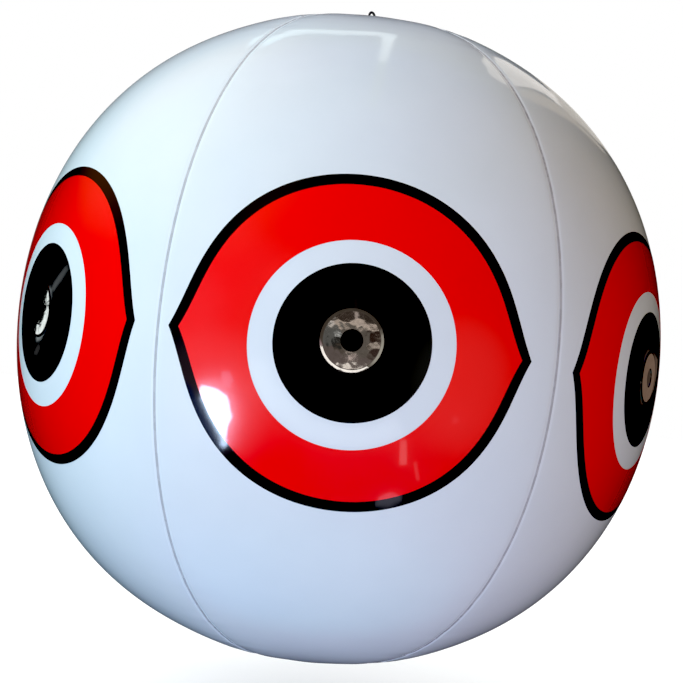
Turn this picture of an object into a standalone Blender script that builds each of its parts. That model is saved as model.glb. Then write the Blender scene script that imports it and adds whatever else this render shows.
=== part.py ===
"""Bird scare balloon: an inflated white vinyl ball of six welded gores, each printed with a
predator eye, hung from a small black ring at its top and blown up through a push-in valve at
its bottom.

Metres, +Z up. The origin is the point inside the hanging ring where a cord bears. The first
eye looks along -Y, and the others follow it round the ball towards +X.
"""

import math

import bmesh
import bpy
from mathutils import Matrix, Vector
from numpy.polynomial.legendre import legval

mm = 0.001

# Ball
ball_radius = 200 * mm
gore_count = 6
film_thickness = 0.3 * mm
seam_gap = 0.3 * mm
seat_gap = 0.3 * mm
gore_tip_radius = 12 * mm
gore_columns = 6
gore_rows = 24
# How the blown-up ball departs from a sphere: Legendre terms of order 0 to 4 from pole to pole
roundness_shares = (1, 0, 0.012, 0.003, -0.018)
# How flat each gore stays across its width, and the distances off the axis where that sets in
facet_share = 0.012
round_reach = 38 * mm
facet_reach = 72 * mm

# Welded discs at the two poles
cap_radius = 26 * mm
cap_hole_clearance = 1.2 * mm
cap_steps = 30
cap_rings = 3

# Printed eyes: outline, red field, bare white ring, pupil
eye_radius = 84.5 * mm
eye_point_angle = math.radians(10)
eye_lean = 0.8 * mm
eye_lean_angle = math.radians(125)
outline_width = 5.6 * mm
iris_drop = 1 * mm
# Radii of the bare white ring and of the pupil, as shares of the eye's
iris_share = 0.608
pupil_share = 0.46
ink_thickness = 0.2 * mm
ink_gap = 0.3 * mm
eye_steps_a_quarter = 9
eye_step_power = 1.4
pupil_steps = 20
# Where each print landed on its gore, sideways and down, and how far its two points reach out
eye_prints = (
    (-5.2 * mm, 2.9 * mm, 9.1 * mm),
    (-2.1 * mm, 6.2 * mm, 6.9 * mm),
    (0, 2.9 * mm, 9.1 * mm),
    (0, 2.9 * mm, 9.1 * mm),
    (0, 2.9 * mm, 9.1 * mm),
    (0.6 * mm, 2.1 * mm, 5.4 * mm),
)

# Mirror foil discs stuck on the pupils
foil_radius = 15.5 * mm
foil_hole_radius = 5.5 * mm
foil_thickness = 0.2 * mm
# How far each disc sits to the side of the pupil's middle, and above it
foil_shift = -0.6 * mm
foil_rise = 1.3 * mm

# Hanging tab: a welded foot with an upright ear
tab_foot_radius = 7 * mm
tab_foot_thickness = 0.6 * mm
tab_ear_thickness = 1 * mm
tab_ear_radius = 3 * mm
tab_hole_radius = 1.5 * mm
tab_hole_margin = 0.3 * mm
tab_cut_overrun = 1 * mm
tab_arc_steps = 12
tab_foot_steps = 24

# Hanging ring
ring_radius = 3 * mm
ring_wire_radius = 0.8 * mm
ring_turn = math.radians(50)
ring_steps = 28
ring_wire_steps = 10

# Inflation valve at the bottom
valve_steps = 28
stem_bore_radius = 3.3 * mm
stem_wall = 2.2 * mm
stem_length = 16 * mm
stem_lip_radius = 7 * mm
stem_lip_thickness = 2.1 * mm
stem_bead_rise = 0.9 * mm
stem_bead_length = 1 * mm
valve_clearance = 0.3 * mm
flange_radius = 20 * mm
flange_thickness = 1 * mm
collar_wall = 1.5 * mm
collar_length = 5 * mm
plug_head_radius = 5.6 * mm
plug_head_thickness = 1.8 * mm
plug_shank_length = 7.4 * mm
plug_tip_round = 0.8 * mm
flap_thickness = 0.5 * mm
flap_margin = 1.5 * mm

# Strap that keeps the plug on the stem
strap_width = 3 * mm
strap_thickness = 0.8 * mm
strap_rise = 0.1 * mm
strap_reach = 4 * mm
strap_bend_steps = 8

gore_half_angle = math.pi / gore_count
quarter_turn = math.pi / 2
iris_radius = eye_radius * iris_share
pupil_radius = eye_radius * pupil_share


def smooth_step(value, start, end):
    part = min(max((value - start) / (end - start), 0), 1)
    return part * part * (3 - 2 * part)


def film_radius(latitude, across):
    """Distance from the ball's centre to the film; across is -1 to 1 from seam to seam."""
    off_axis = ball_radius * math.cos(latitude)
    facet = facet_share * smooth_step(off_axis, round_reach, facet_reach) * (across**2 - 1 / 3)
    return ball_radius * legval(math.sin(latitude), roundness_shares) * (1 + facet)


def film_point(longitude, latitude, lift):
    """A point on the first gore, raised above its outer face by lift."""
    radius = film_radius(latitude, longitude / gore_half_angle) + lift
    level = radius * math.cos(latitude)
    return Vector(
        (level * math.sin(longitude), -level * math.cos(longitude), radius * math.sin(latitude))
    )


def print_point(across, along, lift):
    """A point of the flat print, given by its lengths across and along the gore."""
    latitude = along / ball_radius
    return film_point(across / (ball_radius * math.cos(latitude)), latitude, lift)


def pole_point(reach, side, lift):
    """Radius and height of a point near a pole; side is 1 at the top and -1 at the bottom."""
    from_pole = math.asin(reach / ball_radius)
    radius = film_radius(side * (quarter_turn - from_pole), 0) + lift
    return radius * math.sin(from_pole), side * radius * math.cos(from_pole)


def clear_scene():
    for old in list(bpy.data.objects):
        bpy.data.objects.remove(old)


def make_material(name, colour, roughness, metallic=0.0):
    material = bpy.data.materials.new(name)
    material.use_nodes = True
    shader = material.node_tree.nodes["Principled BSDF"]
    shader.inputs["Base Color"].default_value = (*colour, 1)
    shader.inputs["Roughness"].default_value = roughness
    shader.inputs["Metallic"].default_value = metallic
    return material


def make_empty(name, place, parent=None):
    empty = bpy.data.objects.new(name, None)
    bpy.context.collection.objects.link(empty)
    empty.parent = parent
    empty.location = place
    return empty


def make_object(name, mesh, material, parent=None, place=(0, 0, 0), turn=0.0):
    """An object that shows its own material, also where its mesh is shared."""
    piece = bpy.data.objects.new(name, mesh)
    bpy.context.collection.objects.link(piece)
    piece.parent = parent
    piece.location = place
    piece.rotation_euler.z = turn
    if not mesh.materials:
        mesh.materials.append(None)
    piece.material_slots[0].link = "OBJECT"
    piece.material_slots[0].material = material
    return piece


def finish_mesh(name, shape, sharp_angle=math.radians(35)):
    mesh = bpy.data.meshes.new(name)
    shape.to_mesh(mesh)
    shape.free()
    mesh.shade_smooth()
    mesh.set_sharp_from_angle(angle=sharp_angle)
    return mesh


def thicken(piece, thickness, side):
    """Gives a sheet its thickness: inwards for side -1, outwards for side 1."""
    wall = piece.modifiers.new("Thickness", "SOLIDIFY")
    wall.thickness = thickness
    wall.offset = side


def turned_mesh(name, outline, steps):
    """A closed outline of radius and height points, turned about the Z axis."""
    shape = bmesh.new()
    corners = [shape.verts.new((radius, 0, height)) for radius, height in outline]
    edges = [
        shape.edges.new((corner, corners[(index + 1) % len(corners)]))
        for index, corner in enumerate(corners)
    ]
    bmesh.ops.spin(
        shape,
        geom=corners + edges,
        axis=(0, 0, 1),
        cent=(0, 0, 0),
        angle=2 * math.pi,
        steps=steps,
        use_merge=True,
    )
    on_axis = [vertex for vertex in shape.verts if math.hypot(vertex.co.x, vertex.co.y) == 0]
    for corner in corners:
        if corner.co.x == 0:
            alike = [vertex for vertex in on_axis if vertex.co.z == corner.co.z]
            bmesh.ops.pointmerge(shape, verts=alike, merge_co=corner.co)
            on_axis = [vertex for vertex in on_axis if vertex.is_valid and vertex not in alike]
    loose = [edge for edge in shape.edges if not edge.link_faces]
    bmesh.ops.delete(shape, geom=loose, context="EDGES")
    bmesh.ops.recalc_face_normals(shape, faces=shape.faces)
    return finish_mesh(name, shape)


def gore_mesh():
    """One gore from tip to tip, set back from its seams by half the gap."""
    tip_latitude = math.acos(gore_tip_radius / ball_radius)
    shape = bmesh.new()
    bmesh.ops.create_grid(shape, x_segments=gore_columns, y_segments=gore_rows, size=1)
    for vertex in shape.verts:
        latitude = vertex.co.y * tip_latitude
        set_back = seam_gap / 2 / (ball_radius * math.cos(latitude))
        vertex.co = film_point(vertex.co.x * (gore_half_angle - set_back), latitude, 0)
    return finish_mesh("gore", shape)


def make_gores(parent, place, vinyl):
    mesh = gore_mesh()
    for number in range(gore_count):
        turn = number * 2 * gore_half_angle
        gore = make_object(f"gore_{number + 1}", mesh, vinyl, parent, place, turn)
        thicken(gore, film_thickness, -1)


def make_caps(parent, place, vinyl):
    """The discs that close the ball where the gores meet; the bottom one lets the valve out."""
    inner = seat_gap
    outer = seat_gap + film_thickness
    for name, side, hole in (("top_cap", 1, 0), ("bottom_cap", -1, cap_hole_radius)):
        reaches = [hole + (cap_radius - hole) * step / cap_rings for step in range(cap_rings + 1)]
        under = [pole_point(reach, side, inner) for reach in reaches]
        over = [pole_point(reach, side, outer) for reach in reversed(reaches)]
        make_object(name, turned_mesh(name, under + over, cap_steps), vinyl, parent, place)


def eye_angles():
    """Angles round the eye, closer together towards its two points."""
    quarter = [
        quarter_turn * (step / eye_steps_a_quarter) ** eye_step_power
        for step in range(eye_steps_a_quarter + 1)
    ]
    half = quarter + [math.pi - angle for angle in reversed(quarter[:-1])]
    return half + [angle + math.pi for angle in half[1:-1]]


def eye_outline(angle, inset, point_rise):
    """Distance from the eye's centre to its pointed outline, moved inwards by inset."""
    from_point = abs(math.asin(math.sin(angle)))
    point = point_rise * math.exp(-from_point / eye_point_angle)
    lean = eye_lean * math.cos(2 * (angle - eye_lean_angle))
    return eye_radius + lean + point - inset


def print_mesh(name, angles, rims, lift, landed, centre=False):
    """A sheet on the film between rims, each a distance by angle, closed in the middle if asked."""
    shift, drop, point_rise = landed
    shape = bmesh.new()
    rings = []
    for rim in rims:
        ring = []
        for angle in angles:
            across = rim(angle, point_rise) * math.cos(angle) + shift
            along = rim(angle, point_rise) * math.sin(angle) - drop
            ring.append(shape.verts.new(print_point(across, along, lift)))
        rings.append(ring)
    count = len(angles)
    for inner, outer in zip(rings, rings[1:]):
        for index in range(count):
            after = (index + 1) % count
            shape.faces.new((inner[index], outer[index], outer[after], inner[after]))
    if centre:
        middle = shape.verts.new(print_point(shift, -drop, lift))
        for index in range(count):
            shape.faces.new((middle, rings[0][index], rings[0][(index + 1) % count]))
    return finish_mesh(name, shape)


def circle(radius, lower=0.0):
    """A round rim, its centre a little below the eye's if lower is given."""
    return lambda angle, point_rise: radius - lower * math.sin(angle)


def outline_rim(inset):
    return lambda angle, point_rise: eye_outline(angle, inset, point_rise)


def halfway(first, second, part):
    return lambda angle, point_rise: (
        first(angle, point_rise) * (1 - part) + second(angle, point_rise) * part
    )


def make_eyes(parent, place, black_ink, red_ink, foil):
    """Four layers for each eye; eyes that landed alike share their meshes."""
    pointed = eye_angles()
    round_angles = [2 * math.pi * step / pupil_steps for step in range(pupil_steps)]
    red_edge = outline_rim(outline_width + seam_gap)
    iris_edge = circle(iris_radius, iris_drop)
    on_ink = 2 * ink_gap + ink_thickness
    layers = (
        ("outline_print", pointed, (outline_rim(outline_width), outline_rim(0)), ink_gap, False),
        (
            "red_print",
            pointed,
            (iris_edge, halfway(iris_edge, red_edge, 1 / 2), red_edge),
            ink_gap,
            False,
        ),
        (
            "pupil_print",
            round_angles,
            (circle(pupil_radius / 3), circle(pupil_radius * 2 / 3), circle(pupil_radius)),
            ink_gap,
            True,
        ),
        (
            "foil_disc",
            round_angles,
            (circle(foil_hole_radius), circle(foil_radius)),
            on_ink,
            False,
        ),
    )
    foil_places = [
        (shift + foil_shift, drop - foil_rise, point_rise) for shift, drop, point_rise in eye_prints
    ]
    places = (eye_prints, eye_prints, eye_prints, foil_places)
    finishes = (black_ink, red_ink, black_ink, foil)
    depths = (ink_thickness, ink_thickness, ink_thickness, foil_thickness)
    for (layer, angles, rims, lift, centre), finish, depth, landings in zip(
        layers, finishes, depths, places
    ):
        meshes = {}
        for number, landed in enumerate(landings):
            if landed not in meshes:
                mesh_name = f"{layer}_{number + 1}"
                meshes[landed] = print_mesh(mesh_name, angles, rims, lift, landed, centre)
            turn = number * 2 * gore_half_angle
            name = f"eye_{number + 1}_{layer}"
            eye_piece = make_object(name, meshes[landed], finish, parent, place, turn)
            thicken(eye_piece, depth, 1)


def tab_mesh():
    """A round foot and an upright ear with a hole, the ear standing across the Y axis."""
    foot_top = tab_foot_thickness
    hole_height = foot_top + tab_hole_margin + tab_hole_radius
    foot = turned_mesh(
        "foot", ((0, 0), (tab_foot_radius, 0), (tab_foot_radius, foot_top), (0, foot_top)),
        tab_foot_steps,
    )
    arc = [math.pi * step / tab_arc_steps for step in range(tab_arc_steps + 1)]
    sunk = tab_foot_thickness / 2
    outline = [(tab_ear_radius, sunk)]
    outline += [
        (tab_ear_radius * math.cos(angle), hole_height + tab_ear_radius * math.sin(angle))
        for angle in arc
    ]
    outline.append((-tab_ear_radius, sunk))
    ear = extruded_mesh("ear", outline, tab_ear_thickness)
    hole_arc = [2 * math.pi * step / (2 * tab_arc_steps) for step in range(2 * tab_arc_steps)]
    hole_outline = [
        (tab_hole_radius * math.cos(angle), hole_height + tab_hole_radius * math.sin(angle))
        for angle in hole_arc
    ]
    hole = extruded_mesh("tab_hole", hole_outline, tab_ear_thickness + 2 * tab_cut_overrun)
    return foot, ear, hole


def extruded_mesh(name, outline, width):
    """An outline in the XZ plane, given width across Y with Y = 0 in its middle."""
    shape = bmesh.new()
    face = shape.faces.new([shape.verts.new((x, -width / 2, z)) for x, z in outline])
    made = bmesh.ops.extrude_face_region(shape, geom=[face])["geom"]
    moved = [item for item in made if isinstance(item, bmesh.types.BMVert)]
    bmesh.ops.translate(shape, verts=moved, vec=(0, width, 0))
    bmesh.ops.recalc_face_normals(shape, faces=shape.faces)
    return finish_mesh(name, shape)


def make_tab(parent, place, vinyl):
    foot, ear, hole = tab_mesh()
    tab = make_object("hanging_tab", foot, vinyl, parent, place, ring_turn + quarter_turn)
    for mesh, operation in ((ear, "UNION"), (hole, "DIFFERENCE")):
        tool = make_object(f"{mesh.name}_tool", mesh, vinyl, tab)
        tool.hide_render = True
        tool.display_type = "WIRE"
        cut = tab.modifiers.new(operation.title(), "BOOLEAN")
        cut.operation = operation
        cut.object = tool
    return tab


def make_ring(rubber):
    """A round wire ring standing on edge, its plane turned away from the first eye."""
    wire = [
        (
            ring_radius + ring_wire_radius * math.cos(2 * math.pi * step / ring_wire_steps),
            ring_wire_radius * math.sin(2 * math.pi * step / ring_wire_steps),
        )
        for step in range(ring_wire_steps)
    ]
    mesh = turned_mesh("hanging_ring", wire, ring_steps)
    mesh.transform(Matrix.Rotation(quarter_turn, 4, "X"))
    place = (0, 0, ring_wire_radius - ring_radius)
    return make_object("hanging_ring", mesh, rubber, None, place, ring_turn)


def flange_outline():
    """A dished washer that follows the film's inner face, with a collar round the stem."""
    bore = stem_radius + valve_clearance
    collar = bore + collar_wall
    outer_lift = -film_thickness - seat_gap
    inner_lift = outer_lift - flange_thickness
    wide = pole_point(flange_radius, -1, outer_lift)
    half = pole_point((flange_radius + collar) / 2, -1, outer_lift)
    half_inside = pole_point((flange_radius + collar) / 2, -1, inner_lift)
    wide_inside = pole_point(flange_radius, -1, inner_lift)
    root = pole_point(collar, -1, inner_lift)
    return (
        (bore, flange_face),
        (collar, flange_face),
        half,
        wide,
        wide_inside,
        half_inside,
        root,
        (collar, flange_face + collar_length),
        (bore, flange_face + collar_length),
    )


def stem_outline():
    """A tube with a lip below the flange and a stop bead at its inner end."""
    bead = stem_radius + stem_bead_rise
    return (
        (stem_bore_radius, lip_face),
        (stem_lip_radius, lip_face),
        (stem_lip_radius, lip_face + stem_lip_thickness),
        (stem_radius, lip_face + stem_lip_thickness),
        (stem_radius, stem_end - stem_bead_length),
        (bead, stem_end - stem_bead_length),
        (bead, stem_end),
        (stem_bore_radius, stem_end),
    )


def plug_outline():
    """A flat head and a round-nosed shank that fills the bore."""
    shank = stem_bore_radius - valve_clearance
    head_top = lip_face - seat_gap
    tip = head_top + plug_shank_length
    return (
        (0, head_top - plug_head_thickness),
        (plug_head_radius, head_top - plug_head_thickness),
        (plug_head_radius, head_top),
        (shank, head_top),
        (shank, tip - plug_tip_round),
        (shank - plug_tip_round, tip),
        (0, tip),
    )


def strap_mesh():
    """A flat strip that leaves the lip's side, bends back below itself and meets the head."""
    lip_end = stem_lip_radius + seat_gap
    head_end = plug_head_radius + seat_gap
    upper = lip_face + strap_thickness / 2 + strap_rise
    lower = lip_face - seat_gap - plug_head_thickness / 2
    bend = (upper - lower) / 2
    turn_at = stem_lip_radius + strap_reach
    route = [(lip_end, upper, 0, 1)]
    for step in range(strap_bend_steps + 1):
        angle = quarter_turn - math.pi * step / strap_bend_steps
        route.append(
            (
                turn_at + bend * math.cos(angle),
                (upper + lower) / 2 + bend * math.sin(angle),
                math.cos(angle),
                math.sin(angle),
            )
        )
    route.append((head_end, lower, 0, -1))
    half = strap_thickness / 2
    outside = [(x + half * out_x, z + half * out_z) for x, z, out_x, out_z in route]
    inside = [(x - half * out_x, z - half * out_z) for x, z, out_x, out_z in reversed(route)]
    return extruded_mesh("plug_strap", outside + inside, strap_width)


def make_valve(ball, centre, soft_vinyl):
    """The flange is welded in the ball; stem, plug and flap each move on their own."""
    make_object(
        "valve_flange",
        turned_mesh("valve_flange", flange_outline(), valve_steps),
        soft_vinyl,
        ball,
        centre,
    )
    stem_axis = make_empty("stem_slide", centre, ball)
    make_object(
        "valve_stem", turned_mesh("valve_stem", stem_outline(), valve_steps), soft_vinyl, stem_axis
    )
    make_object("plug_strap", strap_mesh(), soft_vinyl, stem_axis)
    plug_axis = make_empty("plug_slide", (0, 0, 0), stem_axis)
    make_object(
        "valve_plug", turned_mesh("valve_plug", plug_outline(), valve_steps), soft_vinyl, plug_axis
    )
    flap_radius = stem_bore_radius + flap_margin
    flap_floor = stem_end + seat_gap
    disc = (
        (0, 0),
        (flap_radius, 0),
        (flap_radius, flap_thickness),
        (0, flap_thickness),
    )
    mesh = turned_mesh("valve_flap", disc, valve_steps)
    mesh.transform(Matrix.Translation((flap_radius, 0, 0)))
    flap_axis = make_empty("flap_hinge", (-flap_radius, 0, flap_floor), stem_axis)
    make_object("valve_flap", mesh, soft_vinyl, flap_axis)


# Sizes and heights above the ball's centre that several pieces share
cap_hole_radius = stem_lip_radius + cap_hole_clearance
stem_radius = stem_bore_radius + stem_wall
flange_face = pole_point(0, -1, -film_thickness - seat_gap)[1]
lip_face = flange_face - seat_gap - stem_lip_thickness
stem_end = flange_face + stem_length
tab_floor = pole_point(0, 1, 2 * seat_gap + film_thickness)[1]
tab_hole_height = tab_floor + tab_foot_thickness + tab_hole_margin + tab_hole_radius
ring_seat = tab_hole_radius - ring_wire_radius - seat_gap
swing_height = tab_hole_height + ring_seat
ball_centre_height = ring_wire_radius - 2 * ring_radius - swing_height


def main():
    clear_scene()
    vinyl = make_material("glossy_white_vinyl", (0.86, 0.88, 0.92), 0.12)
    black_ink = make_material("gloss_black_ink", (0.004, 0.004, 0.005), 0.08)
    red_ink = make_material("gloss_red_ink", (0.82, 0.003, 0.002), 0.08)
    foil = make_material("silver_mirror_foil", (0.62, 0.58, 0.54), 0.06, 1)
    rubber = make_material("black_plastic", (0.01, 0.01, 0.012), 0.4)
    soft_vinyl = make_material("soft_clear_white_vinyl", (0.78, 0.8, 0.82), 0.3)

    make_ring(rubber)
    ball = make_empty("ball_swing", (0, 0, ball_centre_height + swing_height))
    centre = Vector((0, 0, -swing_height))
    make_gores(ball, centre, vinyl)
    make_caps(ball, centre, vinyl)
    make_eyes(ball, centre, black_ink, red_ink, foil)
    make_tab(ball, centre + Vector((0, 0, tab_floor)), vinyl)
    make_valve(ball, centre, soft_vinyl)


main()
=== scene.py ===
"""Looks of the bird scare balloon: blown-up vinyl, printed eyes, foil, welds, hanger and valve.

Metres, +Z up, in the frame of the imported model: the origin is inside the hanging ring, and the
first eye looks along -Y.
"""

import math

import bmesh
import bpy
import numpy as np
from mathutils import Matrix, Vector, noise
from numpy.polynomial.legendre import legval


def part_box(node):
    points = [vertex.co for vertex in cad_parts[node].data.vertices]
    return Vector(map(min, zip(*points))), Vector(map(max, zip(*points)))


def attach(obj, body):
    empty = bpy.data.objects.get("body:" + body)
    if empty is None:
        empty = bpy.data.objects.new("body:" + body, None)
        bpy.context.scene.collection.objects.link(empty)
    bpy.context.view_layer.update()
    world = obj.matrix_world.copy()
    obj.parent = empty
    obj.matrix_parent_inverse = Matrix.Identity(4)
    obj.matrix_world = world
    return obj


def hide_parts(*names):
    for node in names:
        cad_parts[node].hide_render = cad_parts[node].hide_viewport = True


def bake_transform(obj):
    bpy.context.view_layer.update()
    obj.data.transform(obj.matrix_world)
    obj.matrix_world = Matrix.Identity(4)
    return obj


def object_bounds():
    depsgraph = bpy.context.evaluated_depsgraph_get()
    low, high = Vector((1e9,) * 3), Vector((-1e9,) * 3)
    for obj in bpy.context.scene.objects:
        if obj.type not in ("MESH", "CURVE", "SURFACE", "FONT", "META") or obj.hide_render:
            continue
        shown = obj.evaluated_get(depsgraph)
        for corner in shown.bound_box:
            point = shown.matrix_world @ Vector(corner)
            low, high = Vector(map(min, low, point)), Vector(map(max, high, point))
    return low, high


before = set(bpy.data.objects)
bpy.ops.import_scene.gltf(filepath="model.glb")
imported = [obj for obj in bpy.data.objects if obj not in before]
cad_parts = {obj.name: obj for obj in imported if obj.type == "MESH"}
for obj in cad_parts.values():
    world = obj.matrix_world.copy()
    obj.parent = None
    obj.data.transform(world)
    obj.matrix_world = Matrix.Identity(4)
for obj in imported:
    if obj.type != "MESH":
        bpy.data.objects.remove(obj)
cad_low, cad_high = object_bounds()

mm = 0.001
quarter_turn = math.pi / 2
full_turn = 2 * math.pi

# Ball
ball_radius = 200 * mm
gore_count = 6
gore_half_angle = math.pi / gore_count
gore_tip_radius = 12 * mm
film_thickness = 0.3 * mm
# How the blown-up ball departs from a sphere: Legendre terms of order 0 to 4 from pole to pole
roundness_shares = (1, 0, 0.012, 0.003, -0.018)
# How flat each gore stays across its width, and the distances off the axis where that sets in
facet_share = 0.012
round_reach = 38 * mm
facet_reach = 72 * mm
seam_gap = 0.1 * mm
point_merge = 0.001 * mm
sharp_angle = math.radians(40)
gore_columns = 60
gore_rows = 210

# What a welded seam does to the film beside it
valley_depth_at_waist = 0.35 * mm
valley_depth_at_poles = 2.6 * mm
valley_width = 9 * mm
crease_depth = 0.35 * mm
crease_width = 3 * mm
dulled_roughness = 0.4
pucker_reach = 11 * mm
pucker_height_at_waist = 0.05 * mm
pucker_height_at_poles = 0.3 * mm
pucker_lengths = (11 * mm, 17 * mm, 31 * mm)
# How the puckers of one seam are set off against those of the next
pucker_start = 1.7
pucker_turn = 2.3
cap_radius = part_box("top_cap")[1].x
flat_margin = 34 * mm

# Unevenness of the stretched film
swell_size = 70 * mm
swell_height = 0.28 * mm
ripple_size = 26 * mm
ripple_height = 0.06 * mm

# Printed eyes
eye_radius = 84.5 * mm
eye_point_angle = math.radians(10)
eye_lean = 0.8 * mm
eye_lean_angle = math.radians(125)
outline_width = 5.6 * mm
iris_share = 0.608
iris_drop = 1 * mm
pupil_share = 0.46
coat_roughness = 0.045
# How much duller the ink is where it lies thin
thin_ink_dulling = 1.6
ink_lift = 0.05 * mm
ink_thickness = 0.06 * mm
print_spacing = 3 * mm
pointed_steps = 60
point_crowding = 1.6
round_steps = 180
# Where each print landed on its gore, sideways and down, and how far its two points reach out
eye_prints = (
    (-5.2 * mm, 2.9 * mm, 9.1 * mm),
    (-2.1 * mm, 6.2 * mm, 6.9 * mm),
    (0, 2.9 * mm, 9.1 * mm),
    (0, 2.9 * mm, 9.1 * mm),
    (0, 2.9 * mm, 9.1 * mm),
    (0.6 * mm, 2.1 * mm, 5.4 * mm),
)

# Mirror foil discs
foil_radius = 15.5 * mm
foil_hole_radius = 5.5 * mm
foil_shift = -0.6 * mm
foil_rise = 1.3 * mm
foil_lift = 0.4 * mm
foil_thickness = 0.08 * mm
foil_steps = 150
foil_rings = 40
foil_rim = 1.4 * mm
foil_rim_drop = 0.235 * mm
foil_rim_power = 1.1
foil_rim_rings = 8
foil_crease_size = 8 * mm
foil_crease_height = 0.032 * mm
foil_fine_crease_size = 3 * mm
foil_fine_crease_height = 0.024 * mm

# Welds at the bottom of the creases along the seams, with the marks of the welding bar's teeth
weld_width = 1.9 * mm
weld_crest = 0.22 * mm
weld_crest_width = 1.4 * mm
weld_root = 0.1 * mm
bead_steps = 360
mark_pitch = 3.2 * mm
mark_width = 0.7 * mm
mark_length = 0.9 * mm
mark_height = 0.28 * mm
mark_sides = 8
mark_rings = 6

# Welded discs at the poles, each with a pressed ring near its edge
cap_height = 0.42 * mm
cap_bed = 0.02 * mm
cap_edge_round = 0.25 * mm
press_reach = 22.3 * mm
press_width = 3 * mm
press_floor_width = 1.5 * mm
press_depth = 0.24 * mm
ring_bead_shift = 0.6 * mm
ring_bead_width = 0.5 * mm
ring_bead_crest_width = 0.25 * mm
ring_bead_height = 0.06 * mm
ring_mark_pitch = 1.5 * mm
ring_mark_size = 0.7 * mm
ring_mark_height = 0.16 * mm
cap_rings = 60
cap_bed_rings = 15
edge_steps = 4
disc_steps = 144
# The bottom disc's hole is wider than the lip of the valve
cap_hole_margin = 1.2 * mm
cap_hole_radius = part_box("valve_stem")[1].x + cap_hole_margin

# Hanging tab
tab_foot_thickness = 0.6 * mm
tab_foot_dome = 0.25 * mm
tab_edge_round = 0.2 * mm
tab_ear_thickness = 1 * mm
tab_ear_radius = 3 * mm
tab_hole_radius = 1.5 * mm
ear_flare = math.radians(60)
ear_root_angle = math.radians(20)
ear_steps = 72

# Hanging ring
ring_radius = 3 * mm
ring_wire_radius = 0.8 * mm
ring_turn = math.radians(50)
ring_flash = 0.05 * mm
flash_width_share = 0.12
ring_steps = 96
ring_wire_steps = 32

# Valve
valve_steps = 72
edge_round = 0.3 * mm
# The most of a side that one rounded corner may take
corner_share = 0.45
stem_bore_radius = 3.3 * mm
stem_wall = 2.2 * mm
stem_bead_rise = 0.9 * mm
stem_bead_length = 1 * mm
stem_lip_thickness = 2.1 * mm
plug_head_thickness = 1.8 * mm
plug_clearance = 0.3 * mm
plug_tip_round = 0.8 * mm
plug_rim_width = 0.9 * mm
plug_dish_depth = 0.4 * mm
strap_width = 3 * mm
strap_thickness = 0.8 * mm
strap_rise = 0.1 * mm
strap_reach = 4 * mm
strap_sink = 0.3 * mm
strap_bend_steps = 24
strap_sides = 24
strap_square = 0.7

# Camera: its lens, where it stands before the ball, and how the ball is turned towards it
lens_millimetres = 63.87
sensor_millimetres = 36
camera_distance = 768.8 * mm
camera_right = 1.26 * mm
camera_up = -1.06 * mm
ball_roll = math.radians(5.736)
ball_tilt = math.radians(-0.479)
ball_spin = math.radians(3.463)

# Broad lights: name, azimuth, elevation and linear colour
soft_lights = (
    ("far_left_high", -110, 45, (0.29, 0.48, 0.5)),
    ("left_high", -75, 45, (0.41, 0.28, 0.29)),
    ("left", -75, 0, (0, 0.16, 0.15)),
    ("front_left", -40, 0, (0.45, 0.62, 0.73)),
    ("front", -5, 0, (0.25, 0.17, 0.06)),
    ("front_low", -5, -45, (0, 0, 0.16)),
    ("right_low", 30, -45, (0.21, 0.155, 0.265)),
    ("far_right_low", 65, -45, (0.04, 0.13, 0.06)),
    ("far_right", 100, 0, (0.25, 0.18, 0.1)),
    ("back", 165, 25, (0.5, 0.5, 0.53)),
)
sun_spread = 60
# The dim room that only the gloss shows: azimuth, elevation, core, edge and linear colour
glows = (
    (0, -4, 5, 60, (0.09, 0.078, 0.068)),
    (-60, 50, 10, 40, (0.4, 0.3, 0.15)),
    (-110, 50, 10, 40, (0.73, 0.3, 0.12)),
    (-160, 50, 10, 40, (0.2, 0.13, 0.185)),
    (160, 50, 10, 40, (0.05, 0.095, 0.15)),
    (0, 85, 10, 40, (0, 0, 0.42)),
    (0, -85, 10, 40, (0.09, 0.545, 0.68)),
    (-100, -65, 5, 30, (0, 0.01, 0.245)),
    (-41, -18, 6, 22, (0.62, 0.45, 0.52)),
    (-52, 4, 4, 16, (0.18, 0.18, 0.22)),
    (180, 5, 3, 24, (0.12, 0.115, 0.11)),
    (36, -8, 4, 24, (0.35, 0.36, 0.33)),
)
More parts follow.
